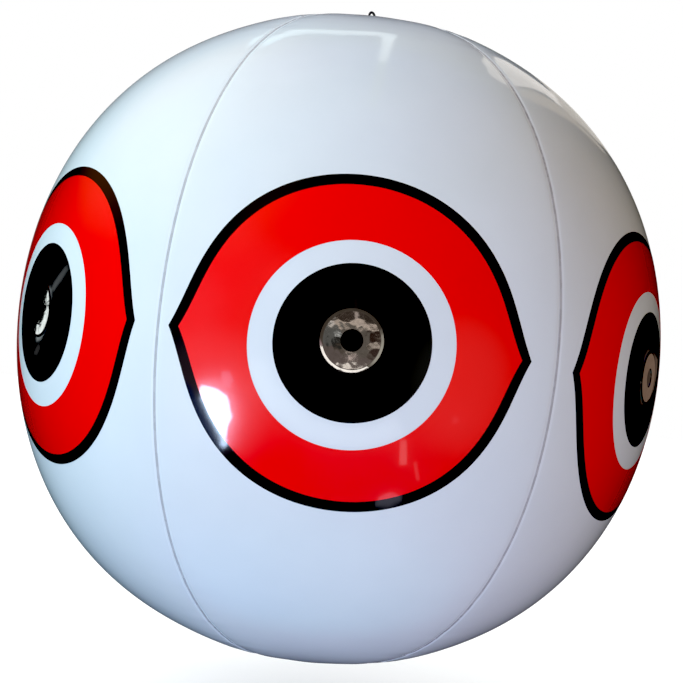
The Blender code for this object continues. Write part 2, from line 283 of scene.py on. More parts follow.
# Bright things in the room that only the gloss shows: linear colour, then the azimuth and
# elevation of each corner, to half a degree
panels = (
    ("front_window", (20, 26, 36), (
        (-45, -15.5), (-44.5, -15), (-39.5, -16), (-36.5, -17.5), (-35.5, -19.5), (-35.5, -22),
        (-34.5, -23.5), (-36.5, -26), (-37.5, -29.5), (-37, -31), (-39, -33), (-40, -32),
        (-40.5, -30), (-42, -27.5), (-46, -18.5),
    )),
    ("window_frame", (0.15, 0.22, 0.8), (
        (-52, -11.5), (-48, -16.5), (-44.5, -22.5), (-40.5, -32), (-39, -33.5), (-41.5, -34.5),
        (-45.5, -28.5), (-53, -14),
    )),
    ("pale_wall", (0.14, 0.12, 0.118), (
        (-10.5, -3), (-6.5, -2), (-1, -4.5), (2, -4.5), (5, -3.5), (7.5, -4.5), (10, -4), (12, -6),
        (8.5, -10.5), (2.5, -12.5), (-3.5, -11.5), (-8.5, -8),
    )),
    ("dim_left", (0.12, 0.125, 0.125), (
        (-11, 4), (-6, 6.5), (-1.5, 4.5), (-1, 2), (-2.5, -1), (-4, -2.5), (-6.5, -2), (-10.5, -3),
    )),
    ("hall", (0.13, 0.12, 0.11), (
        (-2, 6.5), (6.5, 5), (7, 2), (6, 0), (6.5, -4), (-0.5, -4.5), (-2, -2), (-2, 1.5), (-3, 4),
    )),
    ("upper_left_pane", (0.055, 0.045, 0.04), (
        (-10.5, 9), (-6.5, 11.5), (0, 12), (1, 6), (-3, 5), (-6.5, 5.5),
    )),
    ("upper_right_pane", (0.05, 0.042, 0.038), (
        (1.5, 12), (6, 12.5), (12.5, 6.5), (11, 3.5), (2.5, 5.5),
    )),
    ("right_pane", (0.035, 0.024, 0.022), ((5.5, 3), (10.5, 3), (11, 0.5), (6.5, -0.5))),
    ("right_low_pane", (0.05, 0.036, 0.034), (
        (7, -2), (11, -1.5), (10.5, -4), (8.5, -4), (6.5, -3),
    )),
    ("picture", (0.035, 0.036, 0.036), ((-5.5, 0), (-3, 1), (-1.5, -0.5), (-2, -2.5), (-5, -2.5))),
    ("upper_beam", (0.55, 0.48, 0.43), (
        (-7, 5.5), (1, 5.5), (2, 6), (11, 4), (11, 3.5), (-3, 4), (-6, 4.5),
    )),
    ("upright", (0.4, 0.35, 0.33), ((0, 12.5), (1.5, 12.5), (2.5, 5.5), (1, 5.5))),
    ("right_bar", (0.45, 0.4, 0.36), (
        (6, -0.5), (8, 0), (11.5, 0.5), (11.5, -0.5), (8.5, -1.5), (6, -1),
    )),
    ("star", (0.6, 0.52, 0.5), (
        (0, -3.5), (3, -3.5), (2, -4.5), (2.5, -5.5), (1, -5.5), (0, -6), (0.5, -4.5),
    )),
    ("left_gleam", (0.5, 0.53, 0.54), ((-4, 2), (-2.5, 2), (-2.5, 1), (-4.5, 1))),
    ("low_gleam", (1, 0.96, 0.92), (
        (-2.5, -8.5), (-1.5, -7.5), (0.5, -7), (5, -7.5), (6.5, -7), (6.5, -7.5), (4, -8.5),
        (-1.5, -9),
    )),
    ("pale_corner", (0.65, 0.62, 0.6), (
        (-6.5, 6), (-5.5, 5.5), (-5, 4), (-6.5, 3.5), (-7.5, 4.5),
    )),
    ("left_window_top", (1, 1.15, 1.2), (
        (-125, 4), (-123, 3.5), (-122.5, 2.5), (-123.5, 1.5), (-126, 1.5),
    )),
    ("left_window_low", (1, 1.15, 1.2), (
        (-123, 1.5), (-122.5, 0), (-123.5, -1.5), (-126, -3), (-127.5, -3.5), (-131.5, -3.5),
        (-132, -2), (-127, -1),
    )),
    ("left_window_side", (0.6, 0.66, 0.68), (
        (-116.5, 8), (-115, 7.5), (-117.5, 5.5), (-121.5, 3.5), (-123.5, 3.5), (-122, 5),
    )),
    ("left_sill", (0.2, 0.2, 0.2), ((-130, -4), (-127.5, -4.5), (-131, -5.5), (-134.5, -5))),
    ("right_doorway", (0.19, 0.13, 0.1), (
        (132, 3), (148, 1.5), (149, 0.5), (146, -1), (136, -3), (131, -3.5), (127.5, -2),
        (127.5, 0), (129, 2.5),
    )),
    ("low_lamp", (1.9, 1.7, 1.7), ((20, -26.5), (22, -25.5), (24.5, -33), (22, -33.5))),
    ("low_lamp_edge", (0.9, 0.8, 0.8), ((26.5, -32), (27.5, -31.5), (31, -37), (30, -37.5))),
    ("low_sheet", (1.4, 1.4, 1.8), (
        (19, -45), (22.5, -43), (27.5, -43), (28, -45), (24, -47.5), (19, -48.5),
    )),
    ("low_spot", (0.8, 0.75, 0.8), ((35, -17), (37, -17), (37.5, -18.5), (35.5, -19))),
    ("low_rim", (1.3, 1.3, 1.3), (
        (20.5, -24), (11, -29), (-0.5, -30), (-12.5, -27.5), (-21.5, -21.5), (-26.5, -15),
        (-29.5, -8), (-24, -7), (-21.5, -12.5), (-17, -17.5), (-9.5, -23), (0, -25), (9, -24),
        (17, -20),
    )),
    ("window_latch", (1.5, 2.5, 3.6), (
        (-38, -11), (-35.5, -11), (-34, -13.5), (-35.5, -15.5), (-38, -14.5),
    )),
    ("door_head", (1.2, 1.3, 1.4), (
        (-153, 50.5), (-159.5, 47), (-177.5, 52.5), (175.5, 50.5), (171.5, 50), (170.5, 54),
        (175.5, 55), (-176.5, 57), (-169, 55), (-161.5, 54.5), (-151.5, 55),
    )),
    ("door_side", (1.5, 1.6, 1.7), (
        (173.5, 55), (171, 53), (168.5, 64), (163, 74.5), (168.5, 75.5), (171.5, 67),
    )),
    ("door_side_low", (0.35, 0.38, 0.42), (
        (168.5, 75.5), (163, 74.5), (95, 86), (15.5, 78), (4, 78), (79, 88),
    )),
    ("far_wall", (1.1, 1.06, 1.02), (
        (138, 50), (148.5, 37), (152, 31), (151, 28.5), (159, 23.5), (162, 28), (161, 33),
        (152, 48), (147, 50), (143, 53),
    )),
    ("far_wall_end", (0.6, 0.57, 0.53), (
        (151, 28.5), (150.5, 26.5), (154, 20), (162, 12), (168, 12), (166, 18), (159, 23.5),
    )),
    ("far_door", (0.45, 0.42, 0.38), (
        (132, 50), (136, 42.5), (142, 35), (150.5, 21), (154, 18), (150, 26), (150.5, 30),
        (147.5, 36.5), (137, 49),
    )),
)
# The first of them is the farthest, so that a later one hides what is behind it
panel_distance = 30
panel_step = 0.3
# The level of light that the picture shows as black
black_level = 0.012

# Floor
floor_drop = 26 * mm
floor_half_width = 4
floor_glow = 0.66
ceiling_strength = 3
ceiling_spread = 120

iris_radius = eye_radius * iris_share
pupil_radius = eye_radius * pupil_share
# Distances from the foil's middle of its rings of points, the closest together on its rolled rim
flat_foil = np.linspace(foil_hole_radius, foil_radius - foil_rim, foil_rings + 1)
rolled_foil = np.linspace(foil_radius - foil_rim, foil_radius, foil_rim_rings + 1)[1:]
foil_reach = np.concatenate((flat_foil, rolled_foil))[:, None]
tip_latitude = math.acos(gore_tip_radius / ball_radius)
tip_share = legval(math.sin(tip_latitude), roundness_shares) * math.sin(tip_latitude)
tip_height = ball_radius * tip_share
ball_centre = np.array((0, 0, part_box("gore_1")[1].z - tip_height))
ring_along = np.array((math.cos(ring_turn), math.sin(ring_turn), 0))
ring_across = np.array((-math.sin(ring_turn), math.cos(ring_turn), 0))
upward = np.array((0, 0, 1))


def linear(code):
    """The linear colour of an sRGB hex code."""
    shares = [int(code[at:at + 2], 16) / 255 for at in (0, 2, 4)]
    return (*(s / 12.92 if s <= 0.04045 else ((s + 0.055) / 1.055) ** 2.4 for s in shares), 1)


def round_angles(steps):
    """Evenly spaced angles round a full turn."""
    return full_turn * np.arange(steps) / steps


def level_ring(angles, radius, height):
    """Points of a level circle about the upright axis."""
    return np.stack(
        (radius * np.cos(angles), radius * np.sin(angles), np.full(len(angles), height)), axis=-1
    )


def smooth_step(value, start, end):
    """From 0 at the start to 1 at the end, easing in and out."""
    part = np.clip((value - start) / (end - start), 0, 1)
    return part * part * (3 - 2 * part)


def add_node(tree, kind, inputs=None, **settings):
    """A node with its settings; each input takes a value, an output or a node's first output."""
    node = tree.nodes.new(kind)
    for name, value in settings.items():
        setattr(node, name, value)
    for name, value in (inputs or {}).items():
        if isinstance(value, bpy.types.Node):
            value = value.outputs[0]
        if isinstance(value, bpy.types.NodeSocket):
            tree.links.new(value, node.inputs[name])
        else:
            node.inputs[name].default_value = value
    return node


def start_material(name, **finish):
    """A material with its constants on the shader's sockets; underscores stand for spaces."""
    material = bpy.data.materials.new(name)
    material.use_nodes = True
    tree = material.node_tree
    shader = tree.nodes["Principled BSDF"]
    for socket, value in finish.items():
        shader.inputs[socket.replace("_", " ")].default_value = value
    place = add_node(tree, "ShaderNodeTexCoord").outputs["Object"]
    return material, tree, shader, place


def noise_factor(tree, place, size, detail=2.0, roughness=0.5, distortion=0.0):
    """Cloudy values from 0 to 1 whose patches are about one size across."""
    settings = {"Detail": detail, "Roughness": roughness, "Distortion": distortion}
    pattern = {"Vector": place, "Scale": 1 / size, **settings}
    return add_node(tree, "ShaderNodeTexNoise", pattern).outputs["Fac"]


def feed_ramp(tree, factor, low, high, socket):
    """Runs a socket from low to high, two colours or two numbers, as a factor goes from 0 to 1."""
    if isinstance(low, str):
        ramp = add_node(tree, "ShaderNodeMix", {"Factor": factor}, data_type="RGBA")
        ramp.inputs["A"].default_value = linear(low)
        ramp.inputs["B"].default_value = linear(high)
        colours = [output for output in ramp.outputs if output.type == "RGBA"]
        tree.links.new(colours[0], socket)
        return
    ramp = add_node(tree, "ShaderNodeMapRange", {"Value": factor, "To Min": low, "To Max": high})
    tree.links.new(ramp.outputs["Result"], socket)


def add_bump(tree, shader, height, depth):
    """Relief too fine for the mesh, which goes up and down by the depth."""
    bump = add_node(tree, "ShaderNodeBump", {"Height": height, "Distance": depth})
    tree.links.new(bump.outputs["Normal"], shader.inputs["Normal"])


def blown_pvc_film():
    """Calendered soft PVC, blown up tight: a wet-looking skin with faint cloudy pigment.

    Beside a weld the hot bar has taken its gloss off.
    """
    material, tree, shader, place = start_material("blown_pvc_film", IOR=1.53)
    cloud = noise_factor(tree, place, 45 * mm, detail=3)
    feed_ramp(tree, cloud, "DEE3E8", "E8ECF1", shader.inputs["Base Color"])
    nearness = add_node(tree, "ShaderNodeAttribute", attribute_name="weld_nearness").outputs["Fac"]
    ends = {"Factor": nearness, "B": dulled_roughness}
    gloss = add_node(tree, "ShaderNodeMix", ends, data_type="FLOAT")
    feed_ramp(tree, cloud, 0.06, 0.1, gloss.inputs["A"])
    tree.links.new(gloss.outputs["Result"], shader.inputs["Roughness"])
    peel = noise_factor(tree, place, 9 * mm, detail=3, roughness=0.6)
    add_bump(tree, shader, peel, 0.02 * mm)
    return material


def screen_printed_ink(name, low, high, roughness, coat=0.0, specular=0.5):
    """Gloss screen ink laid on the film: a dense colour, slightly uneven where the mesh let go.

    A coat of clear gloss over duller ink puts a soft halo round each bright reflection.
    """
    material, tree, shader, place = start_material(
        name, IOR=1.48, Coat_Weight=coat, Coat_IOR=1.48, Coat_Roughness=coat_roughness,
        Specular_IOR_Level=specular,
    )
    cloud = noise_factor(tree, place, 22 * mm, detail=4)
    feed_ramp(tree, cloud, low, high, shader.inputs["Base Color"])
    feed_ramp(tree, cloud, roughness, roughness * thin_ink_dulling, shader.inputs["Roughness"])
    peel = noise_factor(tree, place, 8 * mm, detail=2)
    add_bump(tree, shader, peel, 0.012 * mm)
    return material


def crinkled_mirror_foil():
    """Metallised polyester stuck on by hand: mirror bright, crumpled, dulled by handling."""
    material, tree, shader, place = start_material("crinkled_mirror_foil", Metallic=1.0)
    smudge = noise_factor(tree, place, 3 * mm, detail=4, distortion=0.4)
    feed_ramp(tree, smudge, "C9C1B8", "F2ECE5", shader.inputs["Base Color"])
    feed_ramp(tree, smudge, 0.075, 0.035, shader.inputs["Roughness"])
    crumple = noise_factor(tree, place, 1.6 * mm, detail=3, roughness=0.7)
    add_bump(tree, shader, crumple, 0.006 * mm)
    return material


def welded_bead_with_crease_shade():
    """Film squeezed together between hot bars: denser and duller than the film, its grey partly its
    own and partly painted shade of the crease it lies in.
    """
    material, tree, shader, place = start_material("welded_bead_with_crease_shade", IOR=1.53)
    cloud = noise_factor(tree, place, 6 * mm, detail=3)
    # Grey tint: partly the pressed film's own colour, partly painted shade of the seam crease or
    # disc groove under the weld
    feed_ramp(tree, cloud, "ACABB1", "C5C4CA", shader.inputs["Base Color"])
    feed_ramp(tree, cloud, 0.2, 0.34, shader.inputs["Roughness"])
    add_bump(tree, shader, noise_factor(tree, place, 1.5 * mm), 0.03 * mm)
    return material


def moulded_black_plastic():
    """Injection-moulded black nylon with a fine matt grain and a grey scuff here and there."""
    material, tree, shader, place = start_material("moulded_black_plastic", IOR=1.53)
    scuff = noise_factor(tree, place, 1.2 * mm, detail=4)
    feed_ramp(tree, scuff, "0A0A0C", "1C1C1F", shader.inputs["Base Color"])
    feed_ramp(tree, scuff, 0.3, 0.5, shader.inputs["Roughness"])
    add_bump(tree, shader, noise_factor(tree, place, 0.5 * mm), 0.01 * mm)
    return material


def moulded_soft_vinyl():
    """Soft moulded valve vinyl: milky, slightly see-through at its edges, low gloss."""
    material, tree, shader, place = start_material(
        "moulded_soft_vinyl", IOR=1.52, Subsurface_Weight=0.4, Subsurface_Scale=1.5 * mm
    )
    cloud = noise_factor(tree, place, 5 * mm)
    feed_ramp(tree, cloud, "D3D8DB", "E4E7E8", shader.inputs["Base Color"])
    feed_ramp(tree, cloud, 0.28, 0.42, shader.inputs["Roughness"])
    add_bump(tree, shader, noise_factor(tree, place, 0.8 * mm), 0.01 * mm)
    return material


def put_in_scene(name, data):
    """A new object in the scene that holds a mesh, a light or a camera."""
    thing = bpy.data.objects.new(name, data)
    bpy.context.scene.collection.objects.link(thing)
    return thing


def hide_from(thing, *rays):
    """Lets the named kinds of rays pass an object by."""
    for ray in rays:
        setattr(thing, f"visible_{ray}", False)


def make_piece(name, mesh, material, body, replaced):
    """A finished piece: its material, the body that it rides on and the nodes it stands for."""
    piece = put_in_scene(name, mesh)
    mesh.materials.clear()
    mesh.materials.append(material)
    mesh.shade_smooth()
    mesh.set_sharp_from_angle(angle=sharp_angle)
    if body:
        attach(piece, body)
    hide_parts(*replaced)
    return piece


def clean_mesh(name, points, faces):
    """A mesh with doubled points merged, bare edges dropped and its faces turned outwards."""
    mesh = bpy.data.meshes.new(name)
    mesh.from_pydata(points.tolist(), [], faces.tolist())
    shape = bmesh.new()
    shape.from_mesh(mesh)
    bmesh.ops.remove_doubles(shape, verts=shape.verts, dist=point_merge)
    bare = [edge for edge in shape.edges if not edge.link_faces]
    bmesh.ops.delete(shape, geom=bare, context="EDGES")
    bmesh.ops.recalc_face_normals(shape, faces=shape.faces)
    shape.to_mesh(mesh)
    shape.free()
    return mesh


def quads(numbers):
    """Faces between neighbouring rows and columns of a grid of point numbers."""
    corners = (numbers[:-1, :-1], numbers[1:, :-1], numbers[1:, 1:], numbers[:-1, 1:])
    return np.stack(corners, axis=-1).reshape(-1, 4)


def skin_mesh(name, rings, round_trip=False):
    """A skin through rings of points; round_trip joins the last ring to the first."""
    rings = np.asarray(rings, float)
    numbers = np.arange(rings.shape[0] * rings.shape[1]).reshape(rings.shape[:2])
    numbers = np.hstack((numbers, numbers[:, :1]))
    if round_trip:
        numbers = np.vstack((numbers, numbers[:1]))
    return clean_mesh(name, rings.reshape(-1, 3), quads(numbers))


def shell_mesh(name, outer, inner, wrap):
    """A closed sheet between two grids of points; wrap joins each row's end to its start."""
    count = outer.shape[0] * outer.shape[1]
    numbers = np.arange(count).reshape(outer.shape[:2])
    if wrap:
        numbers = np.hstack((numbers, numbers[:, :1]))
        borders = [numbers[0], numbers[-1]]
    else:
        sides = (numbers[0], numbers[1:, -1], numbers[-1, -2::-1], numbers[-2::-1, 0])
        borders = [np.concatenate(sides)]
    faces = [quads(numbers), quads(numbers + count)]
    faces += [quads(np.vstack((border, border + count))) for border in borders]
    points = np.concatenate((outer.reshape(-1, 3), inner.reshape(-1, 3)))
    return clean_mesh(name, points, np.concatenate(faces))


def round_corners(outline, radius, closed, steps=4):
    """An outline of radius and height points with its corners rounded."""
    points = [np.array(point, float) for point in outline]
    rounded = []
    for index, corner in enumerate(points):
        if not closed and index in (0, len(points) - 1):
            rounded.append(corner)
            continue
        before = points[index - 1] - corner
        after = points[(index + 1) % len(points)] - corner
        sides = (np.linalg.norm(before), np.linalg.norm(after))
        cut = min(radius, corner_share * min(sides))
        start = corner + before / sides[0] * cut
        end = corner + after / sides[1] * cut
        for part in np.linspace(0, 1, steps + 1):
            rounded.append(
                start * (1 - part) ** 2 + corner * 2 * part * (1 - part) + end * part**2
            )
    return rounded


def turned_mesh(name, outline, steps, closed, edge=0.0):
    """An outline of radius and height points turned about the upright axis, edges rounded."""
    points = round_corners(outline, edge, closed) if edge else outline
    rings = [level_ring(round_angles(steps), radius, height) for radius, height in points]
    return skin_mesh(name, rings, round_trip=closed)


def puckers(along, seam):
    """Small waves along a seam, from -1 to 1."""
    waves = [
        np.sin(full_turn * along / length + (seam + 1) * (order + pucker_start) * pucker_turn)
        for order, length in enumerate(pucker_lengths)
    ]
    return sum(waves) / len(waves)


def film_points(longitude, latitude, lift, gore):
    """Points on a gore; longitude is measured from its middle, lift from its outer face."""
    longitude, latitude = np.broadcast_arrays(longitude, latitude)
    height = np.sin(latitude)
    level = ball_radius * np.cos(latitude)
    across = longitude / gore_half_angle
    # A third is the mean of across squared, so a flatter gore keeps its mean radius
    facet = facet_share * smooth_step(level, round_reach, facet_reach) * (across**2 - 1 / 3)
    radius = ball_radius * legval(height, roundness_shares) * (1 + facet)

    from_seam = (gore_half_angle - np.abs(longitude)) * level
    open_film = smooth_step(level, cap_radius, cap_radius + flat_margin)
    to_pole = np.abs(height) ** 3
    depth = valley_depth_at_waist + (valley_depth_at_poles - valley_depth_at_waist) * to_pole
    wave = pucker_height_at_waist + (pucker_height_at_poles - pucker_height_at_waist) * to_pole
    seam = np.where(longitude > 0, gore, (gore - 1) % gore_count)
    radius = radius - open_film * depth * np.exp(-from_seam / valley_width)
    radius = radius - open_film * crease_depth * np.maximum(1 - from_seam / crease_width, 0) ** 2
    radius = radius + open_film * wave * np.exp(-from_seam / pucker_reach) * puckers(
        latitude * ball_radius, seam
    )

    heading = longitude + gore * 2 * gore_half_angle
    outward = np.stack(
        (np.cos(latitude) * np.sin(heading), -np.cos(latitude) * np.cos(heading), height), axis=-1
    )
    flat = outward.reshape(-1, 3) * ball_radius
    swell = np.array([noise.noise(Vector(point / swell_size)) for point in flat])
    ripple = np.array([noise.noise(Vector(point / ripple_size)) for point in flat])
    uneven = swell_height * (swell - 1) / 2 + ripple_height * (ripple - 1) / 2
    radius = radius + open_film * uneven.reshape(radius.shape) + lift
    return ball_centre + outward * radius[..., None]


def print_points(across, along, lift, gore):
    """Points of the flat print, given by lengths across and along the gore."""
    latitude = along / ball_radius
    return film_points(across / (ball_radius * np.cos(latitude)), latitude, lift, gore)


def note_weld_nearness(mesh, gore):
    """Keeps on each point of a gore how near it is to a seam, from 0 to 1."""
    points = np.empty(3 * len(mesh.vertices))
    mesh.vertices.foreach_get("co", points)
    x, y = points.reshape(-1, 3)[:, :2].T
    turned = np.arctan2(x, -y) - gore * 2 * gore_half_angle
    longitude = np.abs((turned + math.pi) % full_turn - math.pi)
    from_seam = (gore_half_angle - longitude) * np.hypot(x, y)
    nearness = 1 - smooth_step(from_seam, crease_width / 2, crease_width)
    mesh.attributes.new("weld_nearness", "FLOAT", "POINT").data.foreach_set("value", nearness)


def make_gores(vinyl):
    """Each gore's film, with the finest columns beside its seams."""
    columns = np.sin(np.linspace(-quarter_turn, quarter_turn, gore_columns + 1))
    latitude = np.linspace(-tip_latitude, tip_latitude, gore_rows + 1)[:, None]
    set_back = seam_gap / 2 / (ball_radius * np.cos(latitude))
    longitude = columns[None, :] * (gore_half_angle - set_back)
    for gore in range(gore_count):
        outer = film_points(longitude, latitude, 0, gore)
        inner = film_points(longitude, latitude, -film_thickness, gore)
        mesh = shell_mesh(f"vinyl_gore_{gore + 1}", outer, inner, wrap=False)
        note_weld_nearness(mesh, gore)
        make_piece(mesh.name, mesh, vinyl, "ball", [f"gore_{gore + 1}"])


def pointed_angles():
    """Angles round the eye, closer together towards its two points."""
    quarter = quarter_turn * (np.arange(pointed_steps + 1) / pointed_steps) ** point_crowding
    half = np.concatenate((quarter, math.pi - quarter[-2::-1]))
    return np.concatenate((half, half[1:-1] + math.pi))


def eye_outline(angle, inset, point_rise):
    """Distance from the eye's centre to its pointed outline, moved inwards by inset."""
    from_point = np.abs(np.arcsin(np.sin(angle)))
    point = point_rise * np.exp(-from_point / eye_point_angle)
    lean = eye_lean * np.cos(2 * (angle - eye_lean_angle))
    return eye_radius + lean + point - inset


def on_print(angles, reach, lift, gore):
    """Points on a gore at a distance and an angle from the middle of its eye."""
    shift, drop = eye_prints[gore][:2]
    return print_points(reach * np.cos(angles) + shift, reach * np.sin(angles) - drop, lift, gore)


def on_foil(lift, gore):
    """Points of an eye's foil disc, from its hole to its rolled rim."""
    shift, drop = eye_prints[gore][:2]
    turn = round_angles(foil_steps)
    across = foil_reach * np.cos(turn) + shift + foil_shift
    along = foil_reach * np.sin(turn) - drop + foil_rise
    return print_points(across, along, lift, gore)


def print_rings(angles, inner, outer, lift, gore):
    """Rings of points on the film between two rims, each a distance or distances by angle."""
    inner, outer = np.broadcast_arrays(inner, outer, angles)[:2]
    count = max(2, math.ceil(float(np.max(outer - inner)) / print_spacing))
    parts = np.linspace(0, 1, count + 1)[:, None]
    reach = inner[None, :] * (1 - parts) + outer[None, :] * parts
    return on_print(angles, reach, lift, gore)


def foil_crumple(points):
    """How far crumpled foil stands off the pupil, from its sharp folds and small creases."""
    rise = []
    for point in points.reshape(-1, 3):
        fold = abs(noise.noise(Vector(point / foil_crease_size)))
        crease = abs(noise.noise(Vector(point / foil_fine_crease_size)))
        rise.append(foil_crease_height * fold + foil_fine_crease_height * crease)
    return np.array(rise).reshape(points.shape[:-1])


def make_eyes(black_ink, red_ink, foil):
    """The printed outline, red field and pupil of each eye, and the foil disc on its pupil."""
    pointed = pointed_angles()
    circle = round_angles(round_steps)
    on_rim = np.maximum(foil_reach - foil_radius + foil_rim, 0) / foil_rim
    pressed = foil_rim_drop * on_rim**foil_rim_power
    iris_edge = iris_radius - iris_drop * np.sin(pointed)
    for gore in range(gore_count):
        number = gore + 1
        point_rise = eye_prints[gore][2]
        outer_edge = eye_outline(pointed, 0, point_rise)
        red_edge = eye_outline(pointed, outline_width, point_rise)
        layers = (
            ("outline", "outline_print", pointed, red_edge, outer_edge, black_ink, "black_ink"),
            ("red_field", "red_print", pointed, iris_edge, red_edge, red_ink, "red_ink"),
            ("pupil", "pupil_print", circle, 0, pupil_radius, black_ink, "black_ink"),
        )
        for name, node, angles, inner, outer, ink, slot in layers:
            under = print_rings(angles, inner, outer, ink_lift, gore)
            over = print_rings(angles, inner, outer, ink_lift + ink_thickness, gore)
            mesh = shell_mesh(f"printed_{name}_{number}", over, under, wrap=True)
            make_piece(mesh.name, mesh, ink, "ball", [f"eye_{number}_{node}"])
        under = foil_lift - pressed - foil_crumple(on_foil(0, gore))
        over = under + foil_thickness
        name = f"mirror_foil_{number}"
        mesh = shell_mesh(name, on_foil(over, gore), on_foil(under, gore), wrap=True)
        make_piece(mesh.name, mesh, foil, "ball", [f"eye_{number}_foil_disc"])


def pole_points(side, reach, lift):
    """Radius and height of points near a pole; side is 1 at the top and -1 at the bottom."""
    from_pole = np.arcsin(np.asarray(reach) / ball_radius)
    radius = ball_radius * legval(side * np.cos(from_pole), roundness_shares) + lift
    return np.stack(
        (radius * np.sin(from_pole), ball_centre[2] + side * radius * np.cos(from_pole)), axis=-1
    )


def make_caps(vinyl):
    """The discs that close the ball where the gores meet, pressed down in a ring by the weld."""
    for name, side, hole in (("top_cap", 1, 0), ("bottom_cap", -1, cap_hole_radius)):
        inner_edge = cap_radius - cap_edge_round
        reach = np.linspace(hole, inner_edge, cap_rings + 1)
        from_middle = np.abs(reach - press_reach)
        pressed = 1 - smooth_step(from_middle, press_floor_width / 2, press_width / 2)
        over = pole_points(side, reach, cap_height - press_depth * pressed)
        turn = np.linspace(0, quarter_turn, edge_steps + 1)[1:]
        rim = pole_points(
            side,
            inner_edge + cap_edge_round * np.sin(turn),
            cap_height - cap_edge_round * (1 - np.cos(turn)),
        )
        under = pole_points(side, np.linspace(cap_radius, hole, cap_bed_rings), cap_bed)
        outline = np.concatenate((over, rim, under))
        mesh = turned_mesh(f"welded_{name}", outline, disc_steps, closed=bool(hole))
        make_piece(mesh.name, mesh, vinyl, "ball", [name])


def weld_tree(bead_material):
    """Sweeps a four-sided weld along each line and lays the welding bar's tooth marks on it."""
    tree = bpy.data.node_groups.new("weld", "GeometryNodeTree")
    sockets = (
        ("Lines", "Geometry"),
        ("Ball Centre", "Vector"),
        ("Foot", "Vector"),
        ("Crest", "Vector"),
        ("Lip", "Vector"),
        ("Heel", "Vector"),
        ("Mark Pitch", "Float"),
        ("Mark Size", "Vector"),
    )
    for name, kind in sockets:
        tree.interface.new_socket(name, in_out="INPUT", socket_type=f"NodeSocket{kind}")
    tree.interface.new_socket("Weld", in_out="OUTPUT", socket_type="NodeSocketGeometry")
    given = add_node(tree, "NodeGroupInput").outputs
    lines = add_node(tree, "GeometryNodeMeshToCurve", {"Mesh": given["Lines"]})
    place = add_node(tree, "GeometryNodeInputPosition")
    from_centre = add_node(
        tree, "ShaderNodeVectorMath", {0: place, 1: given["Ball Centre"]}, operation="SUBTRACT"
    )
    outward = add_node(tree, "ShaderNodeVectorMath", {0: from_centre}, operation="NORMALIZE")
    upright = add_node(
        tree, "GeometryNodeSetCurveNormal", {"Curve": lines, "Normal": outward}, mode="FREE"
    )
    corners = ("Foot", "Crest", "Lip", "Heel")
    section = add_node(
        tree,
        "GeometryNodeCurvePrimitiveQuadrilateral",
        {f"Point {number + 1}": given[corner] for number, corner in enumerate(corners)},
        mode="POINTS",
    )
    bead = add_node(
        tree,
        "GeometryNodeCurveToMesh",
        {"Curve": upright, "Profile Curve": section, "Fill Caps": True},
    )
    teeth = add_node(
        tree,
        "GeometryNodeCurveToPoints",
        {"Curve": upright, "Length": given["Mark Pitch"]},
        mode="LENGTH",
    )
    stood_up = add_node(
        tree, "FunctionNodeAlignRotationToVector", {"Vector": teeth.outputs["Normal"]}, axis="Z"
    )
    set_across = add_node(
        tree,
        "FunctionNodeAlignRotationToVector",
        {"Rotation": stood_up, "Vector": teeth.outputs["Tangent"]},
        axis="X",
        pivot_axis="Z",
    )
    pad = add_node(
        tree,
        "GeometryNodeMeshUVSphere",
        {"Segments": mark_sides, "Rings": mark_rings, "Radius": 0.5},
    )
    marks = add_node(
        tree,
        "GeometryNodeInstanceOnPoints",
        {"Points": teeth, "Instance": pad, "Rotation": set_across, "Scale": given["Mark Size"]},
    )
    both = add_node(tree, "GeometryNodeJoinGeometry", {"Geometry": marks})
    tree.links.new(bead.outputs["Mesh"], both.inputs["Geometry"])
    real = add_node(tree, "GeometryNodeRealizeInstances", {"Geometry": both})
    finished = add_node(
        tree, "GeometryNodeSetMaterial", {"Geometry": real, "Material": bead_material}
    )
    add_node(tree, "NodeGroupOutput", {"Weld": finished})
    return tree


def grown_mesh(name, lines, tree, sizes):
    """The plain mesh that a node tree grows on lines, with its inputs set by their names."""
    mesh = bpy.data.meshes.new(name)
    numbers = [np.arange(len(line)) for line in lines]
    starts = np.cumsum([0] + [len(line) for line in lines[:-1]])
    edges = [
        (start + first, start + second)
        for start, line in zip(starts.tolist(), numbers)
        for first, second in zip(line[:-1].tolist(), line[1:].tolist())
    ]
    mesh.from_pydata(np.concatenate(lines).tolist(), edges, [])
    holder = put_in_scene(name, mesh)
    growth = holder.modifiers.new("Growth", "NODES")
    growth.node_group = tree
    for item in tree.interface.items_tree:
        if item.name in sizes:
            growth[item.identifier] = sizes[item.name]
    graph = bpy.context.evaluated_depsgraph_get()
    grown = bpy.data.meshes.new_from_object(holder.evaluated_get(graph))
    bpy.data.objects.remove(holder)
    return grown


def weld_sizes(root, crest, width, crest_width, pitch, mark_size):
    """The weld tree's inputs: the section from foot to heel, and the tooth marks."""
    return {
        "Ball Centre": ball_centre.tolist(),
        "Foot": (root, -width / 2, 0),
        "Crest": (crest, -crest_width / 2, 0),
        "Lip": (crest, crest_width / 2, 0),
        "Heel": (root, width / 2, 0),
        "Mark Pitch": pitch,
        "Mark Size": mark_size,
    }


